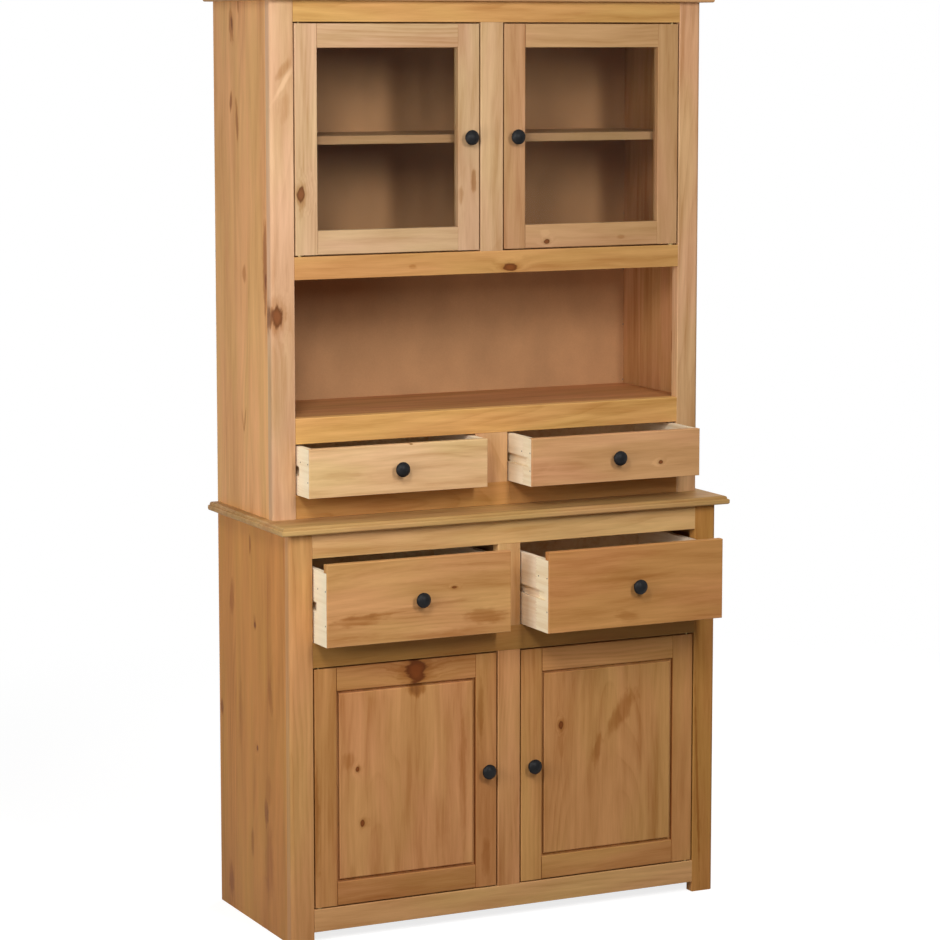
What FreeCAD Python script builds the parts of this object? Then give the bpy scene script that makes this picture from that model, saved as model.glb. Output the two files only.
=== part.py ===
"""Tall two-part cabinet in pine: a base with two drawers over two panel doors, and a hutch on top of it
with two drawers, an open niche and two glazed doors.

All sizes are millimetres. X runs to the right, Y from the front into the depth, Z up from the floor.
The two drawers of each part stand partly open, and that is the rest position.
"""
import FreeCAD, Part
import math
import os
import re

import Sketcher
from FreeCAD import Vector

os.makedirs("parts", exist_ok=True)
doc = FreeCAD.newDocument("TallCabinet")

# Driving dimensions, one plain number to a cell
SIZES = {
    # Outside of both carcasses
    "body_width": 956,
    "base_depth": 376,
    "hutch_setback": 80,
    "side_thickness": 16,
    "panel_thickness": 16,
    "back_thickness": 4,
    "back_rebate": 8,
    # Face frame
    "frame_thickness": 22,
    "post_width": 49,
    "post_round": 7,
    "arris": 1.5,
    "mullion_width": 50,
    "hutch_divider_width": 72,
    # Heights in the base, from the floor up
    "leg_clearance": 21,
    "base_bottom_rail_height": 46,
    "base_door_opening": 485,
    "base_middle_rail_height": 50,
    "base_drawer_opening": 167,
    "base_top_rail_height": 50,
    # Heights in the hutch, from the base's top board up
    "hutch_bottom_rail_height": 47,
    "hutch_drawer_opening": 101,
    "niche_rail_height": 51,
    "niche_opening": 272,
    "hutch_middle_rail_height": 45,
    "glass_door_opening": 455,
    "hutch_top_rail_height": 41,
    # Moulded boards that close the base and the hutch
    "board_thickness": 17,
    "board_overhang": 22,
    "board_nose": 20,
    "board_step": 4,
    "board_step_height": 6,
    "board_top_round": 4.5,
    "board_shoulder_round": 3,
    "board_nose_round": 4,
    # Doors
    "front_gap": 3,
    "door_thickness": 18,
    "door_member": 47,
    "panel_groove_depth": 8,
    "panel_tongue": 6,
    "panel_tongue_setback": 8,
    "panel_setback": 0.8,
    "panel_margin": 5.5,
    "panel_round": 2,
    "glass_thickness": 3,
    "glass_setback": 12,
    "glass_bite": 8,
    # Pivot hinges
    "pivot_inset": 11,
    "pivot_setback": 8,
    "pin_diameter": 5,
    "pin_in_rail": 14,
    "pin_in_door": 12,
    "socket_diameter": 8.6,
    "socket_depth": 14,
    "washer_diameter": 11,
    "running_clearance": 0.3,
    # Drawers
    "drawer_foot_gap": 1,
    "drawer_front_thickness": 15,
    "drawer_lap_depth": 12,
    "drawer_side_thickness": 12,
    "drawer_back_thickness": 12,
    "drawer_bottom_thickness": 4,
    "drawer_bottom_rise": 8,
    "drawer_bottom_bite": 5,
    "base_drawer_length": 345,
    "hutch_drawer_length": 268,
    "base_drawer_side_drop": 17,
    "hutch_drawer_side_drop": 0.5,
    "groove_height": 19,
    "groove_depth": 7,
    "left_groove_stop": 52,
    "right_groove_stop": 18,
    "runner_block_height": 34,
    "runner_end_space": 12,
    "runner_stop_space": 4,
    # How far each drawer stands open at rest
    "base_left_drawer_out": 64,
    "base_right_drawer_out": 119,
    "hutch_left_drawer_out": 61,
    "hutch_right_drawer_out": 102,
    # Knobs
    "knob_diameter": 30,
    "knob_length": 25,
    "knob_foot_diameter": 15,
    "knob_neck_diameter": 11,
    "knob_neck_length": 9,
    "knob_rim_height": 14,
    "knob_rim_thickness": 3.4,
    "knob_rim_round": 1.6,
    # Shelf behind the glazed doors
    "shelf_thickness": 16,
    "shelf_setback": 12,
    "shelf_end_clearance": 1,
    "shelf_height_share": 0.476,
    "shelf_pin_diameter": 5,
    "shelf_pin_reach": 10,
    "shelf_pin_in_side": 9,
    "shelf_pin_inset": 35,
    # One overrun serves every cut
    "overrun": 5,
}

# Places worked out from the driving dimensions
PLACES = {
    "half_width": "body_width / 2",
    "post_line": "half_width - post_width",
    "side_face": "half_width - side_thickness",
    "mullion_line": "mullion_width / 2",
    "divider_line": "hutch_divider_width / 2",
    "partition_face": "panel_thickness / 2",
    "front_reach": "max(base_left_drawer_out; base_right_drawer_out) + knob_length",
    "base_face": "(front_reach - base_depth) / 2",
    "hutch_face": "base_face + hutch_setback",
    "rear_face": "base_face + base_depth",
    "back_inner": "rear_face - back_thickness",
    "base_frame_back": "base_face + frame_thickness",
    "hutch_frame_back": "hutch_face + frame_thickness",
    "base_sill": "leg_clearance + base_bottom_rail_height",
    "base_door_head": "base_sill + base_door_opening",
    "base_drawer_floor": "base_door_head + base_middle_rail_height",
    "base_drawer_head": "base_drawer_floor + base_drawer_opening",
    "base_carcass_top": "base_drawer_head + base_top_rail_height",
    "hutch_foot": "base_carcass_top + board_thickness",
    "hutch_drawer_floor": "hutch_foot + hutch_bottom_rail_height",
    "hutch_drawer_head": "hutch_drawer_floor + hutch_drawer_opening",
    "niche_floor": "hutch_drawer_head + niche_rail_height",
    "niche_head": "niche_floor + niche_opening",
    "glass_sill": "niche_head + hutch_middle_rail_height",
    "glass_head": "glass_sill + glass_door_opening",
    "hutch_carcass_top": "glass_head + hutch_top_rail_height",
    "shelf_underside": "glass_sill + glass_door_opening * shelf_height_share",
    "pivot_line": "post_line - front_gap - pivot_inset",
    "runner_reach": "front_gap + groove_depth - running_clearance",
}


def make_sheet(name, cells, text_of):
    """Writes one row for each value: its name in column A, the value with that alias in column B."""
    sheet = doc.addObject("Spreadsheet::Sheet", name)
    for row, alias in enumerate(cells, start=1):
        sheet.set("A%d" % row, alias)
        sheet.setAlias("B%d" % row, alias)
    for row, content in enumerate(cells.values(), start=1):
        sheet.set("B%d" % row, text_of(content))
    return sheet


def bound(text):
    """Turns the plain names in an expression into references to the two sheets."""
    def place(match):
        word = match.group(0)
        if word in SIZES:
            return "Sizes." + word
        if word in PLACES:
            return "Places." + word
        return word
    return re.sub(r"[a-z_]+", place, text)


sizes = make_sheet("Sizes", SIZES, str)
places = make_sheet("Places", PLACES, lambda content: "=" + bound(content).replace("Places.", ""))
doc.recompute()


def value(name):
    """The number that a named size or place has now."""
    return float(getattr(sizes if name in SIZES else places, name))


NODES = {}


def keep(name, item):
    """Marks a finished object as one piece of the cabinet: its label is the piece's name."""
    item.Label = name
    NODES[name] = item
    return item


def bind(item, **expressions):
    """Ties properties of an object to the sheets, with x, y and z as its position."""
    for key, text in expressions.items():
        target = "Placement.Base." + key if key in ("x", "y", "z") else key
        item.setExpression(target, bound(text))
    return item


def block(name, x, y, z, width, depth, height):
    """A square-edged board from its lowest corner and its three sizes."""
    box = doc.addObject("Part::Box", name)
    return bind(box, x=x, y=y, z=z, Length=width, Width=depth, Height=height)


def block_on(side, name, inner, outer, y, z, depth, height):
    """A board that lies between two distances from the centre line, on the left (-1) or right (1)."""
    start = inner if side > 0 else "-(%s)" % outer
    return block(name, start, y, z, "(%s) - (%s)" % (outer, inner), depth, height)


def rod(name, x, y, z, diameter, length):
    """An upright cylinder that starts at the given point."""
    cylinder = doc.addObject("Part::Cylinder", name)
    return bind(cylinder, x=x, y=y, z=z, Radius="(%s) / 2" % diameter, Height=length)


def cut(name, base, tools):
    """Takes each tool away from the base."""
    result = base
    for index, tool in enumerate(tools):
        step = doc.addObject("Part::Cut", "%s_cut%d" % (name, index))
        step.Base = result
        step.Tool = tool
        result = step
    return result


def fused(name, first, second):
    joined = doc.addObject("Part::Fuse", name)
    joined.Base = first
    joined.Tool = second
    joined.Refine = True
    return joined


def group(name, items):
    """Several separate solids that make one piece or one set of like pieces."""
    compound = doc.addObject("Part::Compound", name)
    compound.Links = items
    return compound


def rounded(name, item, rounds):
    """Rounds edges: rounds pairs a radius name with a test of an edge's middle and direction."""
    doc.recompute()
    shape = item.Shape
    chosen = []
    for index, edge in enumerate(shape.Edges, start=1):
        middle = edge.valueAt((edge.FirstParameter + edge.LastParameter) / 2)
        along = edge.tangentAt(edge.FirstParameter)
        for radius, wanted in rounds:
            if wanted(middle, along, shape.BoundBox):
                chosen.append((index, value(radius), value(radius)))
                break
    result = doc.addObject("Part::Fillet", name)
    result.Base = item
    result.Edges = chosen
    return result


def near(a, b):
    return abs(a - b) < value("running_clearance") / 10


def front_edges(middle, along, box):
    """The four edges round the face that looks at the viewer."""
    return near(middle.y, box.YMin)


def long_front_edges(middle, along, box):
    """The two longer edges of the front face."""
    if not near(middle.y, box.YMin):
        return False
    return abs(along.z) > 0.5 if box.ZLength > box.XLength else abs(along.x) > 0.5


def frame_board(name, *place):
    """A board of the face frame, with its long front edges eased."""
    box = block(name + "_blank", *place)
    return rounded(name, box, [("arris", long_front_edges)])


def make_posts(part, side, word, face, foot, top):
    """A corner post: its outer front edge is well rounded, its inner one only eased."""
    def outer_edge(middle, along, box):
        outside = box.XMax if side > 0 else box.XMin
        return near(middle.y, box.YMin) and near(middle.x, outside) and abs(along.z) > 0.5
    name = "%s_%s_post" % (part, word)
    height = "%s - (%s)" % (top, foot)
    box = block_on(side, name + "_blank", "post_line", "half_width", face, foot, "frame_thickness", height)
    keep(name, rounded(name, box, [("post_round", outer_edge), ("arris", long_front_edges)]))


def make_side(part, side, word, frame_back, foot, top, bores):
    """A side panel behind its post, with a rebate for the back and bores for shelf pins."""
    name = "%s_%s_side" % (part, word)
    height = "%s - (%s)" % (top, foot)
    depth = "rear_face - " + frame_back
    panel = block_on(side, name + "_blank", "side_face", "half_width", frame_back, foot, depth, height)
    rebate = block_on(side, name + "_rebate", "side_face - overrun", "side_face + back_rebate",
                      "back_inner", foot + " - overrun", "back_thickness + overrun",
                      height + " + 2 * overrun")
    keep(name, cut(name, panel, [rebate] + bores))


def shelf_pin(side, name, y, diameter, reach_in, reach_out):
    """A pin that lies along X in a side panel and carries one corner of the shelf."""
    pin = doc.addObject("Part::Cylinder", name)
    pin.Placement.Rotation = FreeCAD.Rotation(Vector(0, 1, 0), 90)
    start = "side_face - (%s)" % reach_out if side > 0 else "-side_face - (%s)" % reach_in
    return bind(pin, Radius="(%s) / 2" % diameter, Height="(%s) + (%s)" % (reach_in, reach_out),
                x=start, y=y, z="shelf_underside - shelf_pin_diameter / 2")


def moulded_board(name, face, foot):
    """A top board whose front and ends carry a rounded upper edge, a small step and a round nose."""
    depth = "rear_face - (%s) + board_nose" % face
    lower = block(name + "_nose", "-half_width - board_overhang", face + " - board_nose", foot,
                  "body_width + 2 * board_overhang", depth, "board_thickness - board_step_height")
    upper = block(name + "_step", "-half_width - board_overhang + board_step",
                  face + " - board_nose + board_step", foot + " + board_thickness - board_step_height",
                  "body_width + 2 * board_overhang - 2 * board_step", depth + " - board_step",
                  "board_step_height")
    blank = fused(name + "_blank", lower, upper)

    def level_edge(middle, along, box, height):
        return abs(along.z) < 0.5 and near(middle.z, height) and not near(middle.y, box.YMax)

    def top_edge(middle, along, box):
        return level_edge(middle, along, box, box.ZMax)

    def shoulder_edge(middle, along, box):
        outside = near(middle.y, box.YMin) or near(middle.x, box.XMin) or near(middle.x, box.XMax)
        return outside and level_edge(middle, along, box, box.ZMax - value("board_step_height"))

    def nose_edge(middle, along, box):
        return level_edge(middle, along, box, box.ZMin)

    rounds = [
        ("board_top_round", top_edge),
        ("board_shoulder_round", shoulder_edge),
        ("board_nose_round", nose_edge),
    ]
    keep(name, rounded(name, blank, rounds))


def pivots(part, sill, head, face):
    """The pins of two doors and the cylinders that bore the rails above and below them for the pins."""
    pins = []
    sill_bores = []
    head_bores = []
    y = face + " + pivot_setback"
    for side, word in ((-1, "left"), (1, "right")):
        x = "pivot_line" if side > 0 else "-pivot_line"
        name = "%s_%s_pin" % (part, word)
        length = "pin_in_rail + front_gap + pin_in_door"
        low = rod(name + "_low", x, y, sill + " - pin_in_rail", "pin_diameter", length)
        washer = rod(name + "_washer", x, y, sill, "washer_diameter", "front_gap - running_clearance")
        pins.append(fused(name + "_lower", low, washer))
        pins.append(rod(name + "_upper", x, y, head + " - front_gap - pin_in_door", "pin_diameter", length))
        sill_bores.append(rod(name + "_sill_bore", x, y, sill + " - pin_in_rail", "pin_diameter",
                              "pin_in_rail + overrun"))
        head_bores.append(rod(name + "_head_bore", x, y, head + " - overrun", "pin_diameter",
                              "pin_in_rail + overrun"))
    return pins, sill_bores, head_bores


def make_door(name, side, face, sill, opening, glazed):
    """A door in its opening: two stiles, two rails, a pane or a raised panel, two sockets and a knob."""
    inner = "mullion_line + front_gap"
    outer = "post_line - front_gap"
    low = sill + " + front_gap"
    high = "%s + %s - front_gap" % (sill, opening)
    tall = "%s - 2 * front_gap" % opening
    inner_hole = inner + " + door_member"
    outer_hole = outer + " - door_member"
    bite = "glass_bite" if glazed else "panel_groove_depth"
    setback = "glass_setback" if glazed else "panel_tongue_setback"
    thick = "glass_thickness" if glazed else "panel_tongue"

    def plate(label):
        return block_on(side, label, "%s - %s" % (inner_hole, bite), "%s + %s" % (outer_hole, bite),
                        "%s + %s" % (face, setback), "%s + door_member - %s" % (low, bite), thick,
                        "%s - 2 * door_member + 2 * %s" % (tall, bite))

    x = "pivot_line" if side > 0 else "-pivot_line"
    y = face + " + pivot_setback"
    socket_bores = [
        rod(name + "_bore_low", x, y, low + " - overrun", "socket_diameter", "socket_depth + overrun"),
        rod(name + "_bore_high", x, y, high + " - socket_depth", "socket_diameter", "socket_depth + overrun"),
    ]
    groove = plate(name + "_groove")
    members = {
        "hinge_stile": (outer_hole, outer, low, tall),
        "knob_stile": (inner, inner_hole, low, tall),
        "bottom_rail": (inner_hole, outer_hole, low, "door_member"),
        "top_rail": (inner_hole, outer_hole, high + " - door_member", "door_member"),
    }
    solids = []
    for word, (start, end, z, height) in members.items():
        label = "%s_%s" % (name, word)
        blank = block_on(side, label + "_blank", start, end, face, z, "door_thickness", height)
        eased = rounded(label + "_eased", blank, [("arris", long_front_edges)])
        tools = [groove] + (socket_bores if word == "hinge_stile" else [])
        solids.append(cut(label, eased, tools))
    keep(name + "_frame", group(name + "_frame", solids))
    if glazed:
        keep(name + "_glass", plate(name + "_glass"))
    else:
        tongue = plate(name + "_tongue")
        field_back = "panel_tongue_setback + panel_tongue - panel_setback"
        field = block_on(side, name + "_field", inner_hole + " + panel_margin",
                         outer_hole + " - panel_margin", face + " + panel_setback",
                         low + " + door_member + panel_margin", field_back,
                         tall + " - 2 * door_member - 2 * panel_margin")
        raised = rounded(name + "_raised", field, [("panel_round", front_edges)])
        keep(name + "_panel", fused(name + "_panel", tongue, raised))
    sockets = []
    for word, z, stop in (("low", low, 0), ("high", high + " - socket_depth", 1)):
        label = "%s_socket_%s" % (name, word)
        shell = rod(label + "_shell", x, y, z, "socket_diameter", "socket_depth")
        hole_depth = "pin_in_door + running_clearance"
        start = z + " + socket_depth - (%s)" % hole_depth if stop else z + " - overrun"
        hole = rod(label + "_hole", x, y, start, "pin_diameter + 2 * running_clearance",
                   hole_depth + " + overrun")
        sockets.append(cut(label, shell, [hole]))
    keep(name + "_hinge_sockets", group(name + "_hinge_sockets", sockets))
    knob_x = "%s(%s + door_member / 2)" % ("" if side > 0 else "-", inner)
    make_knob(name + "_knob", knob_x, face, "%s + %s / 2" % (sill, opening))


def number_of(text):
    """The number that a named size, a half of one or a sum of two stands for."""
    total = 0
    for part in text.split(" + "):
        words = part.split(" / ")
        amount = 0 if words[0] == "0" else value(words[0])
        total += amount / float(words[1]) if len(words) > 1 else amount
    return total


def dimension(sketch, kind, line, text):
    """Fixes the end point of a line at a named distance from the origin."""
    index = sketch.addConstraint(Sketcher.Constraint(kind, -1, 1, line, 2, number_of(text)))
    sketch.setExpression("Constraints[%d]" % index, bound(text))


def make_knob(name, x, y, z):
    """A mushroom knob, turned about its own axis and pointing at the viewer."""
    body = doc.addObject("PartDesign::Body", name)
    plane = [item for item in body.Origin.OriginFeatures if item.Role == "XY_Plane"][0]
    sketch = body.newObject("Sketcher::SketchObject", name + "_outline")
    sketch.AttachmentSupport = [(plane, "")]
    sketch.MapMode = "FlatFace"
    outline = [
        ("knob_foot_diameter / 2", "0"),
        ("knob_neck_diameter / 2", "knob_neck_length"),
        ("knob_diameter / 2", "knob_rim_height"),
        ("knob_diameter / 2", "knob_rim_height + knob_rim_thickness"),
    ]
    numbers = []
    for across, up in outline:
        numbers.append(Vector(number_of(across), number_of(up), 0))
    tip = Vector(0, value("knob_length"), 0)
    foot = Vector(0, 0, 0)
    starts = [foot] + numbers[:-1]
    for start, end in zip(starts, numbers):
        sketch.addGeometry(Part.LineSegment(start, end), False)
    rim = numbers[-1]
    dome_rise = tip.y - rim.y
    dome_radius = (rim.x ** 2 + dome_rise ** 2) / (2 * dome_rise)
    centre = Vector(0, tip.y - dome_radius, 0)
    first = math.atan2(rim.y - centre.y, rim.x)
    circle = Part.Circle(centre, Vector(0, 0, 1), dome_radius)
    dome = sketch.addGeometry(Part.ArcOfCircle(circle, first, math.pi / 2), False)
    axis = sketch.addGeometry(Part.LineSegment(tip, foot), False)
    for line in range(1, len(outline)):
        sketch.addConstraint(Sketcher.Constraint("Coincident", line - 1, 2, line, 1))
    sketch.addConstraint(Sketcher.Constraint("Coincident", dome - 1, 2, dome, 1))
    sketch.addConstraint(Sketcher.Constraint("Coincident", dome, 2, axis, 1))
    sketch.addConstraint(Sketcher.Constraint("Coincident", axis, 2, 0, 1))
    sketch.addConstraint(Sketcher.Constraint("Coincident", 0, 1, -1, 1))
    sketch.addConstraint(Sketcher.Constraint("PointOnObject", 0, 2, -1))
    sketch.addConstraint(Sketcher.Constraint("PointOnObject", dome, 2, -2))
    sketch.addConstraint(Sketcher.Constraint("PointOnObject", dome, 3, -2))
    for line, (across, up) in enumerate(outline):
        dimension(sketch, "DistanceX", line, across)
        if up != "0":
            dimension(sketch, "DistanceY", line, up)
    dimension(sketch, "DistanceY", dome, "knob_length")
    doc.recompute()
    turned = body.newObject("PartDesign::Revolution", name + "_turned")
    turned.Profile = sketch
    turned.ReferenceAxis = (sketch, ["V_Axis"])
    turned.Angle = 360
    doc.recompute()
    rim_edges = []
    for index, edge in enumerate(turned.Shape.Edges, start=1):
        if near(edge.BoundBox.XLength, value("knob_diameter")) and near(edge.BoundBox.YLength, 0):
            rim_edges.append("Edge%d" % index)
    soft = body.newObject("PartDesign::Fillet", name + "_soft")
    soft.Base = (turned, rim_edges)
    soft.setExpression("Radius", bound("knob_rim_round"))
    body.Tip = soft
    body.Placement.Rotation = FreeCAD.Rotation(Vector(1, 0, 0), 180)
    keep(name, bind(body, x=x, y=y, z=z))


def make_drawer(part, side, word, face, floor, opening, inner_line, length, side_drop, out, stop):
    """A drawer that stands open by its own amount, and the two grooved-in runners that carry it."""
    name = "%s_%s_drawer" % (part, word)
    inner = inner_line + " + front_gap"
    outer = "post_line - front_gap"
    y = "%s - %s" % (face, out)
    z = floor + " + drawer_foot_gap"
    front_height = opening + " - front_gap - drawer_foot_gap"
    side_height = "%s - %s" % (front_height, side_drop)
    front_back = y + " + drawer_front_thickness"
    inside_length = length + " - drawer_front_thickness"
    middle = "%s + (%s) / 2" % (z, side_height)

    def bottom_panel(label):
        return block_on(side, label, inner + " + drawer_side_thickness - drawer_bottom_bite",
                        outer + " - drawer_side_thickness + drawer_bottom_bite",
                        front_back + " - drawer_bottom_bite", z + " + drawer_bottom_rise",
                        inside_length + " + drawer_bottom_bite", "drawer_bottom_thickness")

    def lap(label, near_line, far_line):
        """The step in one end of the front that takes the side's end."""
        return block_on(side, label, near_line, far_line, front_back + " - drawer_lap_depth", z + " - overrun",
                        "drawer_lap_depth + overrun", side_height + " + overrun")

    housing = bottom_panel(name + "_bottom_housing")
    laps = [
        lap(name + "_inner_lap", inner + " - overrun", inner + " + drawer_side_thickness"),
        lap(name + "_outer_lap", outer + " - drawer_side_thickness", outer + " + overrun"),
    ]
    blank = block_on(side, name + "_front_blank", inner, outer, y, z, "drawer_front_thickness", front_height)
    eased = rounded(name + "_front_eased", blank, [("arris", front_edges)])
    keep(name + "_front", cut(name + "_front", eased, [housing] + laps))

    def side_board(label, near_line, far_line, groove_near, groove_far):
        board = block_on(side, label + "_blank", near_line, far_line, front_back + " - drawer_lap_depth", z,
                         inside_length + " + drawer_lap_depth", side_height)
        groove = block_on(side, label + "_groove", groove_near, groove_far, y + " + " + stop,
                          middle + " - groove_height / 2", length + " + overrun", "groove_height")
        return cut(label, board, [groove, housing])

    inner_side = side_board(name + "_inner_side", inner, inner + " + drawer_side_thickness",
                            inner + " - overrun", inner + " + groove_depth")
    outer_side = side_board(name + "_outer_side", outer + " - drawer_side_thickness", outer,
                            outer + " - groove_depth", outer + " + overrun")
    back = block_on(side, name + "_back", inner + " + drawer_side_thickness",
                    outer + " - drawer_side_thickness", y + " + %s - drawer_back_thickness" % length,
                    z + " + drawer_bottom_rise + drawer_bottom_thickness", "drawer_back_thickness",
                    side_height + " - drawer_bottom_rise - drawer_bottom_thickness")
    bottom = bottom_panel(name + "_bottom")
    keep(name + "_box", group(name + "_box", [inner_side, outer_side, back, bottom]))
    centre = "%s(%s + %s) / 2" % ("" if side > 0 else "-", inner, outer)
    make_knob(name + "_knob", centre, y, "%s + (%s) / 2" % (z, front_height))

    def runner(label, wall, line, tip):
        run = "back_inner - %s_frame_back - runner_end_space" % part
        start = "%s + %s + runner_stop_space" % (face, stop)
        carrier = block_on(side, label + "_carrier", wall[0], wall[1], part + "_frame_back",
                           middle + " - runner_block_height / 2", run, "runner_block_height")
        tongue = block_on(side, label + "_tongue", tip[0], tip[1], start,
                          middle + " - groove_height / 2 + running_clearance",
                          "back_inner - runner_end_space - (%s)" % start,
                          "groove_height - 2 * running_clearance")
        return fused(label, carrier, tongue)

    outer_tip = ("post_line - runner_reach", "post_line")
    inner_tip = (inner_line, inner_line + " + runner_reach")
    return [
        runner(name + "_outer_runner", ("post_line", "side_face"), "post_line", outer_tip),
        runner(name + "_inner_runner", ("partition_face", inner_line), inner_line, inner_tip),
    ]


def upright(name, line, face, foot, height):
    """A centred upright of the face frame."""
    keep(name, frame_board(name, "-" + line, face, foot, "2 * " + line, "frame_thickness", height))


def rail(name, face, foot, height, bores):
    """A rail between the two posts, bored where hinge pins stand in it."""
    board = frame_board(name + "_eased", "-post_line", face, foot, "2 * post_line", "frame_thickness", height)
    keep(name, cut(name, board, bores))


def panel(name, half, y, z, depth, height):
    """A flat panel that is centred between the sides."""
    keep(name, block(name, "-(%s)" % half, y, z, "2 * (%s)" % half, depth, height))


SIDES = ((-1, "left"), (1, "right"))
base_depth_inside = "back_inner - base_frame_back"
hutch_depth_inside = "back_inner - hutch_frame_back"

# The hinge pins, and the bores that they need in the rails
base_pins, base_sill_bores, base_head_bores = pivots("base", "base_sill", "base_door_head", "base_face")
glass_pins, glass_sill_bores, glass_head_bores = pivots("hutch", "glass_sill", "glass_head", "hutch_face")
keep("hinge_pins", group("hinge_pins", base_pins + glass_pins))

# The base: posts, sides, rails, uprights and the panels inside
for side, word in SIDES:
    make_posts("base", side, word, "base_face", "0", "base_carcass_top")
    make_side("base", side, word, "base_frame_back", "0", "base_carcass_top", [])
rail("base_bottom_rail", "base_face", "leg_clearance", "base_bottom_rail_height", base_sill_bores)
rail("base_middle_rail", "base_face", "base_door_head", "base_middle_rail_height", base_head_bores)
rail("base_top_rail", "base_face", "base_drawer_head", "base_top_rail_height", [])
upright("base_door_mullion", "mullion_line", "base_face", "base_sill", "base_door_opening")
upright("base_drawer_divider", "mullion_line", "base_face", "base_drawer_floor", "base_drawer_opening")
panel("base_floor", "side_face", "base_frame_back", "base_sill - panel_thickness", base_depth_inside,
      "panel_thickness")
panel("base_partition", "partition_face", "base_frame_back", "base_door_head", base_depth_inside,
      "base_carcass_top - base_door_head")
panel("base_back_panel", "side_face + back_rebate", "back_inner", "leg_clearance", "back_thickness",
      "base_carcass_top - leg_clearance")
moulded_board("base_top_board", "base_face", "base_carcass_top")

# The hutch stands on the base's top board, flush with it at the back
shelf_front = "hutch_frame_back + shelf_setback"
pin_places = {
    "front": shelf_front + " + shelf_pin_inset",
    "rear": "back_inner - shelf_end_clearance - shelf_pin_inset",
}
pins = []
for side, word in SIDES:
    bores = []
    for place, y in pin_places.items():
        label = "shelf_pin_%s_%s" % (word, place)
        pins.append(shelf_pin(side, label, y, "shelf_pin_diameter", "shelf_pin_in_side", "shelf_pin_reach"))
        bores.append(shelf_pin(side, label + "_bore", y, "shelf_pin_diameter", "shelf_pin_in_side", "overrun"))
    make_posts("hutch", side, word, "hutch_face", "hutch_foot", "hutch_carcass_top")
    make_side("hutch", side, word, "hutch_frame_back", "hutch_foot", "hutch_carcass_top", bores)
keep("shelf_pins", group("shelf_pins", pins))
rail("hutch_bottom_rail", "hutch_face", "hutch_foot", "hutch_bottom_rail_height", [])
rail("hutch_niche_rail", "hutch_face", "hutch_drawer_head", "niche_rail_height", [])
rail("hutch_middle_rail", "hutch_face", "niche_head", "hutch_middle_rail_height", glass_sill_bores)
rail("hutch_top_rail", "hutch_face", "glass_head", "hutch_top_rail_height", glass_head_bores)
upright("hutch_door_mullion", "mullion_line", "hutch_face", "glass_sill", "glass_door_opening")
upright("hutch_drawer_divider", "divider_line", "hutch_face", "hutch_drawer_floor", "hutch_drawer_opening")
panel("hutch_cupboard_floor", "side_face", "hutch_frame_back", "glass_sill - panel_thickness",
      hutch_depth_inside, "panel_thickness")
panel("hutch_niche_floor", "side_face", "hutch_frame_back", "niche_floor - panel_thickness",
      hutch_depth_inside, "panel_thickness")
panel("hutch_partition", "partition_face", "hutch_frame_back", "hutch_foot", hutch_depth_inside,
      "niche_floor - panel_thickness - hutch_foot")
panel("hutch_shelf", "side_face - shelf_end_clearance", shelf_front, "shelf_underside",
      "back_inner - shelf_end_clearance - (%s)" % shelf_front, "shelf_thickness")
panel("hutch_back_panel", "side_face + back_rebate", "back_inner", "hutch_foot", "back_thickness",
      "hutch_carcass_top - hutch_foot")
moulded_board("hutch_cornice", "hutch_face", "hutch_carcass_top")

# The four doors and the four drawers
runners = []
for side, word in SIDES:
    make_door("%s_panel_door" % word, side, "base_face", "base_sill", "base_door_opening", glazed=False)
    make_door("%s_glass_door" % word, side, "hutch_face", "glass_sill", "glass_door_opening", glazed=True)
    stop = word + "_groove_stop"
    runners += make_drawer("base", side, word, "base_face", "base_drawer_floor", "base_drawer_opening",
                           "mullion_line", "base_drawer_length", "base_drawer_side_drop",
                           "base_%s_drawer_out" % word, stop)
    runners += make_drawer("hutch", side, word, "hutch_face", "hutch_drawer_floor", "hutch_drawer_opening",
                           "divider_line", "hutch_drawer_length", "hutch_drawer_side_drop",
                           "hutch_%s_drawer_out" % word, stop)
keep("drawer_runners", group("drawer_runners", runners))

doc.recompute()
for item in doc.Objects:
    if "Invalid" in item.State or "Error" in item.State:
        raise RuntimeError("%s did not build: %s" % (item.Label, item.State))
for name, item in NODES.items():
    if item.Shape.isNull() or not item.Shape.isValid():
        raise RuntimeError("%s has no valid shape" % name)
    item.Shape.exportStep("parts/%s.step" % name)

whole = Part.makeCompound([item.Shape for item in NODES.values()])
box = whole.BoundBox
print("%d pieces, %.1f x %.1f x %.1f mm" % (len(NODES), box.XLength, box.YLength, box.ZLength))
print("x %.1f to %.1f, y %.1f to %.1f, z %.1f to %.1f"
      % (box.XMin, box.XMax, box.YMin, box.YMax, box.ZMin, box.ZMax))
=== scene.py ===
# %% [markdown]
# # A waxed pine cabinet
#
# This lesson dresses a tall pine cabinet: a base with two drawers over two panel doors, and a hutch on top
# with two drawers, an open niche and two glazed doors. Its boards, doors and drawers come from the CAD
# model and stay as they are. What is left for Blender is what the hand and the eye meet: the wood's grain
# and knots, the finish, the glass, the nails and screws, and the light.
#
# First the model is loaded. Every board arrives as its own object, in metres, in its final place.

import math

import bmesh
import bpy
from mathutils import Matrix, Vector


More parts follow.
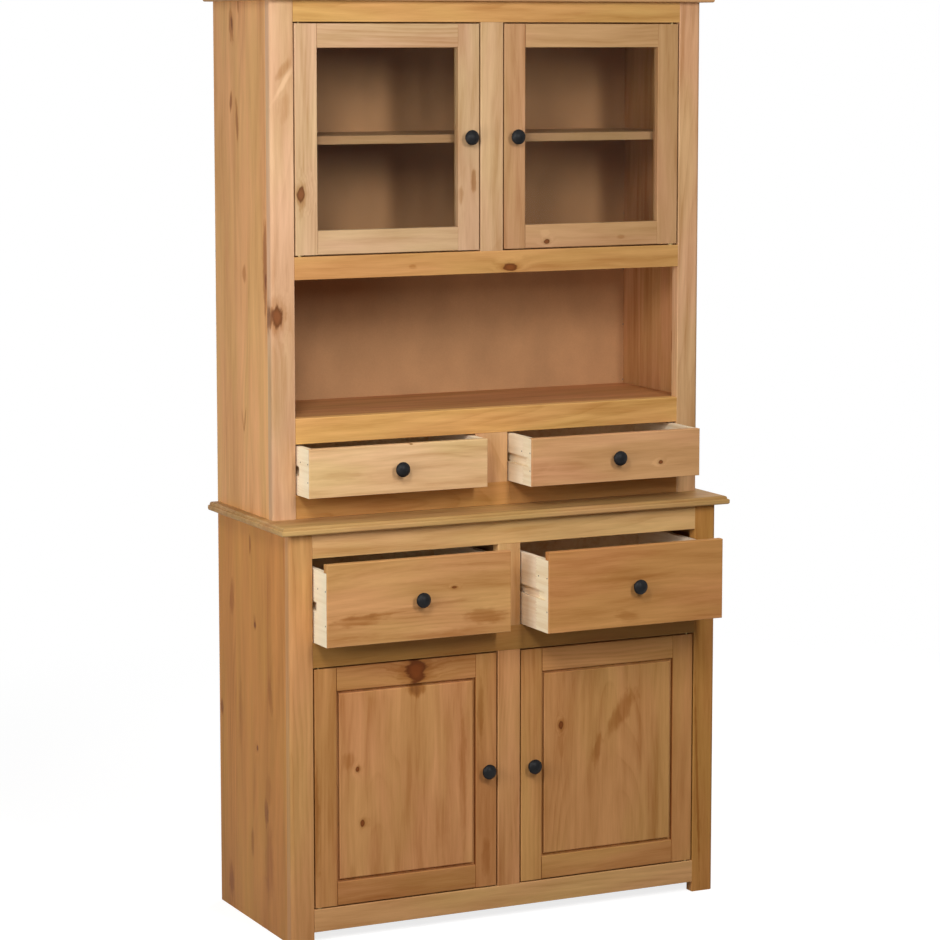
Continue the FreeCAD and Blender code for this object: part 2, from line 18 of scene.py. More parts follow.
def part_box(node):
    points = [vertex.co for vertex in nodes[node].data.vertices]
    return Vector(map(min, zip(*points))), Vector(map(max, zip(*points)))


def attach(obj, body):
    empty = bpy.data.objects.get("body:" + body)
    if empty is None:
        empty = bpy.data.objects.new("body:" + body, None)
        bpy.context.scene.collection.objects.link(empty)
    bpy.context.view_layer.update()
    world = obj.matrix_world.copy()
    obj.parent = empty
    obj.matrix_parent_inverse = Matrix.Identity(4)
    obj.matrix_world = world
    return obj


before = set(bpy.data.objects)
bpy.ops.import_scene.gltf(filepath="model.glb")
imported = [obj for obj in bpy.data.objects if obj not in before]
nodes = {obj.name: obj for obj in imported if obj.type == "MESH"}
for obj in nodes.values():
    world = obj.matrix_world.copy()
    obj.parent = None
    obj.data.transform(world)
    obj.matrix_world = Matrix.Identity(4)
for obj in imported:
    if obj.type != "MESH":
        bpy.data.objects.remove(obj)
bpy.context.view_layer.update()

# %% [markdown]
# ## The camera
#
# The photograph was taken from the left and from a little above eye level, with a long lens, so upright
# edges stay almost parallel. The camera's place and angles were found by matching the cabinet's corners.
# A small lens shift keeps the picture's framing, as a product photographer does with a shift lens.

# %% Place the camera
CAMERA_PLACE = (-2.7782, -5.6445, 1.7764)
CAMERA_TURN = 25.95
CAMERA_TILT = 7.036
CAMERA_LENS = 119.56
CAMERA_SHIFT = -0.05

camera_data = bpy.data.cameras.new("camera")
camera_data.sensor_width = 36
camera_data.lens = CAMERA_LENS
camera_data.shift_y = CAMERA_SHIFT
camera = bpy.data.objects.new("camera", camera_data)
camera.location = CAMERA_PLACE
camera.rotation_euler = (math.radians(90 - CAMERA_TILT), 0, math.radians(-CAMERA_TURN))
bpy.context.scene.collection.objects.link(camera)
bpy.context.scene.camera = camera
print("The camera stands", round(Vector(CAMERA_PLACE).length, 2), "m from the cabinet's foot.")

# %% [markdown]
# ## Small helpers for materials
#
# A procedural material is a small calculation that runs at every point of a surface. Each helper below adds
# one step of such a calculation and hands back the socket with its result, so that a longer recipe reads
# from top to bottom. The first ones make a material and join its shaders.

# %% A material and its shaders
def feed(tree, socket, value):
    """Gives a socket its value: another node's result, or a plain number or colour."""
    if isinstance(value, bpy.types.NodeSocket):
        tree.links.new(value, socket)
    else:
        socket.default_value = value


def new_material(name):
    """An empty material: its node tree and the shader that the surface shows."""
    material = bpy.data.materials.new(name)
    material.use_nodes = True
    tree = material.node_tree
    tree.nodes.clear()
    shader = tree.nodes.new("ShaderNodeBsdfPrincipled")
    output = tree.nodes.new("ShaderNodeOutputMaterial")
    feed(tree, output.inputs["Surface"], shader.outputs["BSDF"])
    return material, tree, shader


def plain_shader(tree, kind, **settings):
    """A simple shader with the same settings all over."""
    node = tree.nodes.new(kind)
    for name, value in settings.items():
        node.inputs[name].default_value = value
    return node.outputs[0]


def mix_shaders(tree, factor, first, second):
    """The first shader where the factor is 0 and the second where it is 1."""
    node = tree.nodes.new("ShaderNodeMixShader")
    for socket, value in zip(node.inputs, (factor, first, second)):
        feed(tree, socket, value)
    return node.outputs[0]


def show(tree, surface):
    """Makes a shader the one that the surface shows."""
    output = next(node for node in tree.nodes if node.type == "OUTPUT_MATERIAL")
    feed(tree, output.inputs["Surface"], surface)


def set_finish(shader, roughness, shine):
    """How dull the surface is, and how strongly it mirrors."""
    shader.inputs["Roughness"].default_value = roughness
    shader.inputs["Specular IOR Level"].default_value = shine


# %% [markdown]
# Most steps work on one number at a time. They add, compare and measure, and `fade` turns a distance into a
# soft edge.

# %% Arithmetic
def number(tree, operation, *values):
    """One step of arithmetic."""
    node = tree.nodes.new("ShaderNodeMath")
    node.operation = operation
    for socket, value in zip(node.inputs, values):
        feed(tree, socket, value)
    return node.outputs[0]


def total(tree, first, *others):
    """The sum of several numbers."""
    for other in others:
        first = number(tree, "ADD", first, other)
    return first


def apart(tree, first, second):
    """How far two numbers are apart."""
    return number(tree, "ABSOLUTE", number(tree, "SUBTRACT", first, second))


def centred(tree, value, weight):
    """A number between 0 and 1 as one that swings round 0 and spans the weight."""
    return number(tree, "MULTIPLY_ADD", value, weight, -weight / 2)


def combine(tree, *values):
    """Three numbers as one vector."""
    node = tree.nodes.new("ShaderNodeCombineXYZ")
    for socket, value in zip(node.inputs, values):
        feed(tree, socket, value)
    return node.outputs[0]


def length_of(tree, *values):
    """The distance of a point from the origin."""
    node = tree.nodes.new("ShaderNodeVectorMath")
    node.operation = "LENGTH"
    feed(tree, node.inputs[0], combine(tree, *values))
    return node.outputs["Value"]


def fade(tree, value, start, end, low=0.0, high=1.0):
    """Goes smoothly from low to high while a value goes from start to end."""
    node = tree.nodes.new("ShaderNodeMapRange")
    node.interpolation_type = "SMOOTHSTEP"
    for socket, item in zip(node.inputs, (value, start, end, low, high)):
        feed(tree, socket, item)
    return node.outputs[0]


# %% [markdown]
# Colours are mixed, multiplied, or read off a ramp whose stops say which number gives which colour.

# %% Colours
def mixed(tree, factor, first, second, blend="MIX"):
    """Mixes two colours."""
    node = tree.nodes.new("ShaderNodeMix")
    node.data_type = "RGBA"
    node.blend_type = blend
    feed(tree, node.inputs[0], factor)
    for socket, colour in ((node.inputs[6], first), (node.inputs[7], second)):
        feed(tree, socket, colour if isinstance(colour, bpy.types.NodeSocket) else (*colour, 1))
    return node.outputs[2]


def choose(tree, factor, first, second):
    """Takes the first number where the factor is 0 and the second where it is 1."""
    node = tree.nodes.new("ShaderNodeMix")
    feed(tree, node.inputs[0], factor)
    feed(tree, node.inputs[2], first)
    feed(tree, node.inputs[3], second)
    return node.outputs[0]


def bands(tree, value, stops, blend="LINEAR"):
    """Turns a number between 0 and 1 into colours or brightness by a row of stops."""
    node = tree.nodes.new("ShaderNodeValToRGB")
    ramp = node.color_ramp
    ramp.interpolation = blend
    while len(ramp.elements) < len(stops):
        ramp.elements.new(0.5)
    for element, (place, colour) in zip(ramp.elements, stops):
        element.position = place
        element.color = (*colour, 1) if isinstance(colour, tuple) else (colour, colour, colour, 1)
    feed(tree, node.inputs["Fac"], value)
    return node.outputs["Color"]


def scaled(colour, *factors):
    """A colour times one factor for each of red, green and blue, or times one for all."""
    factors = factors if len(factors) == 3 else factors * 3
    return tuple(channel * factor for channel, factor in zip(colour, factors))


# %% [markdown]
# Noise gives a surface its irregular parts. It reads the point's place on the object itself, so a pattern
# stays where it is when a door or a drawer moves.

# %% Place, noise and relief
def split_place(tree):
    """The point of the surface as the object's own x, y and z."""
    source = tree.nodes.new("ShaderNodeTexCoord")
    split = tree.nodes.new("ShaderNodeSeparateXYZ")
    tree.links.new(source.outputs["Object"], split.inputs[0])
    return split.outputs


def noise(tree, point, scale, shift=(0, 0, 0), detail=2.0):
    """Soft noise: scale says how many waves a metre has along each of the point's three directions."""
    mapping = tree.nodes.new("ShaderNodeMapping")
    feed(tree, mapping.inputs["Vector"], point)
    mapping.inputs["Scale"].default_value = scale
    mapping.inputs["Location"].default_value = shift
    node = tree.nodes.new("ShaderNodeTexNoise")
    tree.links.new(mapping.outputs[0], node.inputs["Vector"])
    node.inputs["Scale"].default_value = 1
    node.inputs["Detail"].default_value = detail
    return node.outputs["Fac"]


def chance(tree, seed):
    """A random number between 0 and 1 that is the same wherever the seed is the same."""
    node = tree.nodes.new("ShaderNodeTexWhiteNoise")
    node.noise_dimensions = "1D"
    feed(tree, node.inputs["W"], seed)
    return node.outputs["Value"]


def relief(tree, shader, height, depth, strength):
    """Lets fine ups and downs of the surface catch the light."""
    bump = tree.nodes.new("ShaderNodeBump")
    bump.inputs["Strength"].default_value = strength
    bump.inputs["Distance"].default_value = depth
    feed(tree, bump.inputs["Height"], height)
    tree.links.new(bump.outputs[0], shader.inputs["Normal"])


# %% [markdown]
# ## Pine
#
# A pine board is a slice of a tree. Under wax and in soft light its growth rings hardly show. What the eye
# sees is soft streaks a finger wide that run with the grain, patches of pinker and yellower wood, a few
# knots with a red-brown heart, and here and there a darker or paler figure where the tree healed.
#
# The recipe takes the point of the surface as three distances: along the grain, across it on the face, and
# deep into the board. In a door frame the grain turns where rails meet stiles, and a wide board is glued up
# from staves.

# %% Where a point lies in its board
AXES = {"x": 0, "y": 1, "z": 2}
UPPER_RAIL = 2.0


def across_axis(grain, deep):
    """The axis that lies across the grain on the board's face."""
    return AXES[({"x", "y", "z"} - {grain, deep}).pop()]


def board_place(tree, grain, deep, frame_of, stave):
    """Along, across and deep, and a number for the stave or the frame's member that the point is in."""
    places = split_place(tree)
    along = places[AXES[grain]]
    across = places[across_axis(grain, deep)]
    depth = places[AXES[deep]]
    member = 0.0
    if frame_of:
        centre, half_hole, middle = frame_of
        from_centre = number(tree, "SUBTRACT", places[0], centre)
        rail = number(tree, "LESS_THAN", number(tree, "ABSOLUTE", from_centre), half_hole)
        right = number(tree, "GREATER_THAN", from_centre, 0.0)
        upper = number(tree, "GREATER_THAN", places[2], middle)
        along = choose(tree, rail, places[2], places[0])
        across = choose(tree, rail, places[0], places[2])
        member = choose(tree, rail, right, number(tree, "ADD", upper, UPPER_RAIL))
    if stave:
        member = number(tree, "FLOOR", number(tree, "DIVIDE", across, stave))
    return along, across, depth, member


# %% [markdown]
# Growth rings are tubes round the pith. Cut by a face, they give straight lines beside the pith and long
# arches over it. Here they stay faint, and only show where a slow noise lets them through.

# %% Faint growth rings
RING_PITCH = 0.0085
RING_BOW = 0.04
RINGS_HIDDEN = 0.4
RING_STOPS = [(0.0, 0.2), (0.3, 0.05), (0.75, 0.7), (0.9, 1.0), (1.0, 0.2)]
RING_PATCHES = (1.3, 14.0, 14.0)
RINGS_SHOW = (0.46, 0.66)


def faint_rings(tree, point, along, across, depth, drift, seed, pith, tilt, push):
    """0 for pale spring wood, 1 for the end of summer wood, RINGS_HIDDEN where the rings don't show."""
    side = number(tree, "SUBTRACT", across, pith[0])
    deep = number(tree, "ADD", number(tree, "MULTIPLY_ADD", along, tilt, pith[1]), depth)
    bowed = number(tree, "MULTIPLY_ADD", drift, RING_BOW, length_of(tree, side, deep, 0.0))
    turn = number(tree, "FRACT", number(tree, "DIVIDE", number(tree, "ADD", bowed, push), RING_PITCH))
    late = bands(tree, turn, RING_STOPS, "EASE")
    shown = fade(tree, noise(tree, point, RING_PATCHES, (4.0, seed, 9.0)), *RINGS_SHOW)
    return choose(tree, shown, RINGS_HIDDEN, late)


# %% [markdown]
# A knot is the stump of a branch, cut across. The distance to the nearest knot drives its colours. A mark is
# a soft long oval in which the wood is darker or paler: the shadow beside a knot, a resin streak or a figure
# that leans across the grain. A slow noise makes the outlines of both uneven.

# %% Knots and marks
FAR = 9.0
MARK_CORE = 0.35


def nearest_knot(tree, along, across, knots, wobble):
    """The distance to the nearest knot, counted in that knot's own radius."""
    nearest = FAR
    for knot_along, knot_across, radius, stretch in knots:
        far = number(tree, "MULTIPLY", number(tree, "SUBTRACT", along, knot_along), 1 / radius / stretch)
        wide = number(tree, "MULTIPLY", number(tree, "SUBTRACT", across, knot_across), 1 / radius)
        nearest = number(tree, "MINIMUM", nearest, length_of(tree, far, wide, 0.0))
    return number(tree, "MULTIPLY", nearest, number(tree, "MULTIPLY_ADD", wobble, 1.1, 0.45))


def soft_mark(tree, along, across, wobble, mark):
    """How much darker (or, below zero, paler) one mark makes the wood at this point."""
    mark_along, mark_across, half_along, half_across, slope, strength = mark
    far = number(tree, "SUBTRACT", along, mark_along)
    wide = number(tree, "SUBTRACT", number(tree, "SUBTRACT", across, mark_across),
                  number(tree, "MULTIPLY", far, slope))
    reach = length_of(tree, number(tree, "DIVIDE", far, half_along),
                      number(tree, "DIVIDE", wide, half_across), 0.0)
    reach = number(tree, "MULTIPLY", reach, number(tree, "MULTIPLY_ADD", wobble, 1.2, 0.4))
    return fade(tree, reach, MARK_CORE, 1.0, strength, 0.0)


# %% [markdown]
# Two more things change the wood at known places. Along its long edges a board is painted paler: a painted
# highlight for the light that its rounded edges catch. Where a rail meets a stile, a thin dark line shows the
# joint.

# %% Painted edge highlights and joints
# The paler band along a board's long edges is a painted highlight, standing for the light that its rounded
# edges catch.
EDGE_START = 0.0006
EDGE_END = 0.0030
EDGE_PALER = -0.22
JOINT_CORE = 0.0003
JOINT_END = 0.0010


def painted_edge_highlight(tree, across, edges):
    """Painted highlight: makes the wood paler close to a board's two long edges."""
    middle, half = edges
    inside = number(tree, "SUBTRACT", half, apart(tree, across, middle))
    return fade(tree, inside, EDGE_START, EDGE_END, EDGE_PALER, 0.0)


def joint_line(tree, frame_of, strength):
    """Makes the wood darker where a frame's rails meet its stiles."""
    centre, half_hole, _ = frame_of
    from_joint = apart(tree, apart(tree, split_place(tree)[0], centre), half_hole)
    return fade(tree, from_joint, JOINT_CORE, JOINT_END, strength, 0.0)


# %% [markdown]
# The tone of a board is the colour that it has on average. A ramp turns a darkness into colour round that
# tone: pine that is darker is also more orange, so green and blue fall faster than red.

# %% From darkness to colour
PALE_PINE = (1.24, 1.30, 1.42)
DARK_PINE = (0.72, 0.60, 0.46)
RESIN = (0.28, 0.16, 0.09)
PINK_PATCH = (1.05, 0.97, 0.99)
YELLOW_PATCH = (0.98, 1.015, 0.88)
PINK_TO_YELLOW = (0.36, 0.64)
KNOT_RIM = (0.38, 0.20, 0.11)
KNOT_HEART = (0.24, 0.125, 0.06)
HEART_TO_RIM = (0.35, 0.95)
RIM_TO_WOOD = (0.85, 1.25)


def pine_colour(tree, tone, dark, patch, patches):
    """A darkness as a colour round the tone, with pinker and yellower patches."""
    colour = bands(tree, number(tree, "MULTIPLY", dark, 0.5), [
        (0.0, scaled(tone, *PALE_PINE)), (0.25, tone), (0.5, scaled(tone, *DARK_PINE)),
        (1.0, scaled(tone, *RESIN))])
    tint = mixed(tree, fade(tree, patch, *PINK_TO_YELLOW), PINK_PATCH, YELLOW_PATCH)
    return mixed(tree, patches, colour, mixed(tree, 1.0, colour, tint, "MULTIPLY"))


def with_knots(tree, tone, colour, knot):
    """The colour with a red-brown heart in each knot."""
    outwards = fade(tree, knot, *HEART_TO_RIM)
    heart = mixed(tree, outwards, scaled(tone, *KNOT_RIM), scaled(tone, *KNOT_HEART))
    return mixed(tree, fade(tree, knot, *RIM_TO_WOOD, 0.95, 0.0), colour, heart)


# %% [markdown]
# The recipe gathers the streaks, patches, rings, marks and joints in a single number, the darkness. Each
# layer of noise is stretched along the grain, and the streaks swing round a knot as real fibres do. How far
# a knot reaches is counted in its own radii.

# %% The pine recipe
WOBBLE_WAVES = (45.0, 110.0, 110.0)
DRIFT_WAVES = (2.2, 6.0, 6.0)
STREAK_WAVES = (5.5, 75.0, 75.0)
BROAD_WAVES = (2.0, 20.0, 20.0)
FIBRE_WAVES = (28.0, 620.0, 620.0)
PATCH_WAVES = (3.0, 13.0, 13.0)
FIBRE_WEIGHT = 0.35
LOT_ALONG = 3.0
LOT_ACROSS = 0.09
WANDER = 0.045
KNOT_SWING = 0.016
SWING_REACH = (0.4, 4.5)
KNOT_SHADE = 0.38
SHADE_REACH = (0.9, 2.4)
WAX_FINISH = (0.5, 0.12)
WAX_RELIEF = (0.0005, 0.12)


def pine(name, tone, grain, deep, seed, knots=(), marks=(), stave=0.0, lots=0.12, frame_of=None, joint=0.0,
         edges=None, rings=0.25, streaks=1.05, broads=1.1, patches=0.65, pith=(0.05, 0.06), tilt=0.05):
    """Waxed pine with its grain along one axis and the depth of the board along another."""
    material, tree, shader = new_material(name)
    along, across, depth, member = board_place(tree, grain, deep, frame_of, stave)
    has_members = stave or frame_of
    lot = chance(tree, number(tree, "ADD", member, seed * 1.37))
    run = number(tree, "MULTIPLY_ADD", lot, LOT_ALONG, along)
    point = combine(tree, run, across, depth)
    wobble = noise(tree, point, WOBBLE_WAVES, (seed, 1.0, 2.0), 3.0)
    knot = nearest_knot(tree, along, across, knots, wobble) if knots else FAR
    swing = fade(tree, knot, *SWING_REACH, KNOT_SWING, 0.0) if knots else 0.0
    ring_side = number(tree, "MULTIPLY_ADD", lot, LOT_ACROSS if has_members else 0.0, across)
    drift = number(tree, "SUBTRACT", noise(tree, point, DRIFT_WAVES, (seed, 3.1, 7.7)), 0.5)
    late = faint_rings(tree, point, run, ring_side, depth, drift, seed, pith, tilt, swing)
    wander = number(tree, "MULTIPLY_ADD", drift, WANDER, across)
    wavy = combine(tree, run, number(tree, "ADD", wander, swing), depth)
    streak = noise(tree, wavy, STREAK_WAVES, (2.7, seed, 5.1), 3.0)
    broad = noise(tree, wavy, BROAD_WAVES, (seed, 8.3, 0.7), 2.0)
    fibre = noise(tree, point, FIBRE_WAVES, (1.1, 4.9, seed), 2.0)
    patch = noise(tree, point, PATCH_WAVES, (9.2, seed, 3.3), 2.0)

    parts = [number(tree, "MULTIPLY_ADD", late, rings, 0.5 - rings * RINGS_HIDDEN)]
    for layer, weight in ((streak, streaks), (broad, broads), (fibre, FIBRE_WEIGHT)):
        parts.append(centred(tree, layer, weight))
    if has_members:
        parts.append(centred(tree, lot, lots * 2))
    parts += [soft_mark(tree, along, across, wobble, mark) for mark in marks]
    if knots:
        parts.append(fade(tree, knot, *SHADE_REACH, KNOT_SHADE, 0.0))
    # Painted highlight: a paler band along the board's long edges.
    if edges:
        parts.append(painted_edge_highlight(tree, across, edges))
    if joint:
        parts.append(joint_line(tree, frame_of, joint))
    colour = pine_colour(tree, tone, total(tree, *parts), patch, patches)
    if knots:
        colour = with_knots(tree, tone, colour, knot)
    feed(tree, shader.inputs["Base Color"], colour)
    relief(tree, shader, fibre, *WAX_RELIEF)
    set_finish(shader, *WAX_FINISH)
    return material


# %% [markdown]
# ## One recipe for each board
#
# Waxed pine is never one colour, so each board has its own tone. The table also says which way its grain
# runs, which way it is thick, and where its knots and marks are. Positions are metres in the cabinet's own
# frame, first along the grain and then across it. A knot then has its radius across the grain and how much
# longer it is along it, and a mark its two half sizes, its lean and its strength.

# %% Posts, sides and rails of the carcass
BOARDS = {
    "hutch_left_post": dict(
        tone=(0.542, 0.325, 0.176), grain="z", deep="y", seed=1, pith=(-0.40, 0.02),
        knots=[(1.237, -0.466, 0.0105, 1.9)],
        marks=[(1.690, -0.449, 0.045, 0.008, 0.60, -0.45), (1.714, -0.450, 0.026, 0.014, 0.60, 0.35),
               (1.640, -0.448, 0.040, 0.016, 0.10, 0.20), (1.232, -0.478, 0.030, 0.004, 0.10, 0.9)]),
    "hutch_right_post": dict(
        tone=(0.587, 0.337, 0.174), grain="z", deep="y", seed=2, pith=(0.52, 0.03)),
    "base_left_post": dict(tone=(0.489, 0.242, 0.088), grain="z", deep="y", seed=3, pith=(-0.52, 0.05)),
    "base_right_post": dict(
        tone=(0.463, 0.212, 0.056), grain="z", deep="y", seed=4, pith=(0.40, 0.05),
        marks=[(0.230, 0.440, 0.270, 0.004, -0.035, 0.55)]),
    "hutch_left_side": dict(
        tone=(0.708, 0.370, 0.146), grain="z", deep="x", seed=5,
        stave=0.087, pith=(0.05, 0.60), streaks=0.6,
        marks=[(1.802, 0.163, 0.038, 0.016, 0.1, 0.75), (1.806, 0.160, 0.020, 0.006, 0.1, 0.7),
               (1.842, 0.125, 0.026, 0.005, 0.0, 0.8), (1.650, 0.168, 0.026, 0.009, -0.1, 1.1),
               (1.612, 0.137, 0.048, 0.009, 0.08, 0.8), (1.335, -0.006, 0.120, 0.016, 0.0, 0.9),
               (1.312, 0.105, 0.022, 0.014, 0.0, 0.55), (1.305, -0.008, 0.020, 0.008, 0.0, 0.5),
               (1.020, 0.107, 0.040, 0.005, -0.25, 0.5), (1.015, 0.118, 0.030, 0.005, 0.2, 0.35)]),
    "hutch_right_side": dict(
        tone=(0.479, 0.238, 0.099), grain="z", deep="x", seed=6, stave=0.091, pith=(0.04, 0.2),
        marks=[(1.146, 0.044, 0.035, 0.005, 0.0, 0.7)]),
    "base_left_side": dict(
        tone=(0.562, 0.245, 0.057), grain="z", deep="x", seed=7,
        stave=0.083, pith=(0.06, 0.60), streaks=0.55,
        knots=[(0.363, 0.056, 0.0035, 1.4), (0.612, 0.064, 0.004, 1.3)],
        marks=[(0.771, 0.087, 0.026, 0.008, 0.0, 0.8), (0.650, 0.187, 0.050, 0.016, -0.05, 0.55),
               (0.618, 0.064, 0.020, 0.009, 0.0, 0.4), (0.411, 0.248, 0.022, 0.011, 0.0, 1.0),
               (0.415, 0.143, 0.100, 0.012, 0.0, 0.28), (0.480, -0.015, 0.045, 0.014, 0.15, 0.35),
               (0.238, 0.010, 0.030, 0.012, 0.1, 0.8), (0.290, 0.000, 0.045, 0.020, 0.0, 0.25),
               (0.162, 0.086, 0.040, 0.010, 0.0, 0.6), (0.140, 0.000, 0.100, 0.030, 0.0, 0.3),
               (0.055, 0.202, 0.045, 0.016, 0.0, 0.7)]),
    "base_right_side": dict(
        tone=(0.47, 0.26, 0.11), grain="z", deep="x", seed=8, stave=0.094, pith=(0.03, 0.2),
        knots=[(0.520, 0.110, 0.005, 1.5)], marks=[(0.300, -0.030, 0.030, 0.006, 0.0, 0.6)]),
    "hutch_top_rail": dict(tone=(0.534, 0.291, 0.096), grain="x", deep="y", seed=9, pith=(1.87, 0.04)),
    "hutch_middle_rail": dict(
        tone=(0.510, 0.260, 0.089), grain="x", deep="y", seed=10, pith=(1.30, 0.03),
        knots=[(0.041, 1.318, 0.0075, 1.9)], marks=[(-0.175, 1.326, 0.012, 0.006, 0.0, 0.35)]),
    "hutch_niche_rail": dict(
        tone=(0.622, 0.338, 0.111), grain="x", deep="y", seed=11, pith=(1.05, 0.05)),
    "hutch_bottom_rail": dict(
        tone=(0.466, 0.232, 0.070), grain="x", deep="y", seed=12, pith=(0.84, 0.05)),
    "base_top_rail": dict(tone=(0.629, 0.373, 0.156), grain="x", deep="y", seed=13, pith=(0.83, 0.04)),
    "base_middle_rail": dict(
        tone=(0.396, 0.189, 0.053), grain="x", deep="y", seed=14, pith=(0.56, 0.05)),
    "base_bottom_rail": dict(
        tone=(0.555, 0.301, 0.118), grain="x", deep="y", seed=15, pith=(0.10, 0.04)),
    "hutch_door_mullion": dict(
        tone=(0.535, 0.331, 0.177), grain="z", deep="y", seed=16, pith=(0.03, 0.05)),
    "hutch_drawer_divider": dict(
        tone=(0.584, 0.324, 0.155), grain="z", deep="y", seed=17, pith=(0.0, 0.05)),
    "base_door_mullion": dict(
        tone=(0.529, 0.254, 0.098), grain="z", deep="y", seed=18, pith=(0.02, 0.05)),
    "base_drawer_divider": dict(
        tone=(0.598, 0.345, 0.154), grain="z", deep="y", seed=19, pith=(-0.03, 0.05)),
}
print(len(BOARDS), "boards of the frame have a recipe.")

# %% [markdown]
# The wide flat boards lie with their grain from left to right. The partitions stand between the drawers, and
# only their edges are ever seen. Boards that the photograph hardly shows share one tone.

# %% Wide boards of the carcass
PLAIN_TONE = (0.41, 0.225, 0.105)

BOARDS.update({
    "hutch_cornice": dict(
        tone=(0.47, 0.26, 0.11), grain="x", deep="z", seed=20, stave=0.11, pith=(0.0, -1.7)),
    "base_top_board": dict(
        tone=(0.447, 0.255, 0.096), grain="x", deep="z", seed=21, stave=0.12, pith=(0.02, -0.7)),
    "hutch_shelf": dict(
        tone=PLAIN_TONE, grain="x", deep="z", seed=22, stave=0.10, pith=(0.0, -1.5)),
    "hutch_niche_floor": dict(
        tone=(0.453, 0.203, 0.079), grain="x", deep="z", seed=23, stave=0.10, pith=(0.0, -0.9)),
    "hutch_cupboard_floor": dict(
        tone=PLAIN_TONE, grain="x", deep="z", seed=24, stave=0.10, pith=(0.0, -1.2)),
    "base_floor": dict(
        tone=PLAIN_TONE, grain="x", deep="z", seed=25, stave=0.11, pith=(0.0, 0.1)),
    "hutch_partition": dict(tone=PLAIN_TONE, grain="y", deep="x", seed=26, pith=(0.93, 0.05)),
    "base_partition": dict(tone=PLAIN_TONE, grain="y", deep="x", seed=27, pith=(0.68, 0.05)),
})

# %% [markdown]
# A door frame is four members on one piece of the model. The clear opening tells them apart: what lies
# beside it is a stile, and what lies over or under it is a rail. The thin dark line where they meet is the
# joint of the tenon, which stays open a hair's breadth as the wood dries.

# %% Door frames and panels
DOOR_MEMBER = 0.047


def opening_of(door):
    """The middle and half width of a door frame's clear opening, and the height of its middle."""
    low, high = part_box(door + "_frame")
    return ((low.x + high.x) / 2, (high.x - low.x) / 2 - DOOR_MEMBER, (low.z + high.z) / 2)


BOARDS["left_panel_door_frame"] = dict(
    tone=(0.478, 0.221, 0.076), grain="z", deep="y", seed=29,
    frame_of=opening_of("left_panel_door"), joint=0.8,
    knots=[(-0.207, 0.529, 0.0225, 0.90)],
    marks=[(0.230, -0.427, 0.200, 0.012, 0.0, 0.45), (0.435, -0.064, 0.090, 0.010, 0.0, 0.45),
           (0.130, -0.050, 0.060, 0.012, 0.0, 0.30)])
BOARDS["right_panel_door_frame"] = dict(
    tone=(0.510, 0.248, 0.084), grain="z", deep="y", seed=31,
    frame_of=opening_of("right_panel_door"), joint=0.8)
BOARDS["left_glass_door_frame"] = dict(
    tone=(0.516, 0.324, 0.180), grain="z", deep="y", seed=33,
    frame_of=opening_of("left_glass_door"), joint=0.25,
    knots=[(1.473, -0.414, 0.0085, 1.5)],
    marks=[(1.492, -0.040, 0.034, 0.008, 0.0, 0.65), (1.463, -0.069, 0.026, 0.007, 0.0, 0.40),
           (1.455, -0.412, 0.034, 0.010, 0.1, 0.25)])
BOARDS["right_glass_door_frame"] = dict(
    tone=(0.454, 0.251, 0.118), grain="z", deep="y", seed=35,
    frame_of=opening_of("right_glass_door"), joint=0.25,
    knots=[(0.124, 1.367, 0.0045, 1.3)],
    marks=[(0.120, 1.384, 0.014, 0.010, 0.0, -0.35), (0.295, 1.372, 0.012, 0.006, 0.0, 0.3)])
BOARDS["left_panel_door_panel"] = dict(
    tone=(0.536, 0.255, 0.097), grain="z", deep="y", seed=38, pith=(-0.30, 0.12), tilt=0.06,
    knots=[(0.341, -0.335, 0.0035, 1.4), (0.231, -0.324, 0.0045, 1.4)],
    marks=[(0.360, -0.352, 0.024, 0.020, 0.0, 0.32), (0.290, -0.103, 0.190, 0.011, 0.0, 0.28),
           (0.493, -0.205, 0.024, 0.026, 0.0, 0.85), (0.120, -0.345, 0.040, 0.010, 0.0, 0.2),
           (0.220, -0.150, 0.080, 0.020, 0.0, 0.18)])
BOARDS["right_panel_door_panel"] = dict(
    tone=(0.517, 0.254, 0.089), grain="z", deep="y", seed=39, pith=(0.24, 0.10), tilt=0.09,
    knots=[(0.386, 0.119, 0.0045, 1.6)],
    marks=[(0.398, 0.256, 0.060, 0.028, 0.60, 0.52), (0.330, 0.204, 0.045, 0.012, 0.15, 0.45),
           (0.350, 0.120, 0.050, 0.008, 0.0, 0.2)])

# %% [markdown]
# A drawer front is one wide board with its grain from left to right, so its long lines show best.

# %% Drawer fronts
BOARDS["hutch_left_drawer_front"] = dict(
    tone=(0.661, 0.424, 0.210), grain="x", deep="y", seed=40, pith=(0.93, 0.14), tilt=0.03,
    marks=[(-0.208, 0.980, 0.005, 0.0022, 0.0, 1.4), (-0.360, 0.925, 0.080, 0.010, 0.0, 0.22)])
BOARDS["hutch_right_drawer_front"] = dict(
    tone=(0.557, 0.290, 0.132), grain="x", deep="y", seed=41, pith=(0.94, 0.12), tilt=0.07,
    knots=[(0.335, 0.917, 0.0035, 1.3)],
    marks=[(0.330, 0.918, 0.018, 0.010, 0.0, -0.4), (0.130, 0.920, 0.070, 0.012, 0.0, 0.15)])
BOARDS["base_left_drawer_front"] = dict(
    tone=(0.529, 0.271, 0.102), grain="x", deep="y", seed=42, pith=(0.72, 0.15), tilt=0.04,
    knots=[(-0.153, 0.7025, 0.0022, 2.4)],
    marks=[(-0.360, 0.652, 0.075, 0.014, 0.03, 0.50), (-0.084, 0.640, 0.060, 0.020, -0.10, 0.55),
           (-0.230, 0.668, 0.200, 0.006, 0.08, 0.35), (-0.240, 0.735, 0.200, 0.020, 0.0, -0.15),
           (-0.250, 0.620, 0.150, 0.010, 0.0, -0.25)])
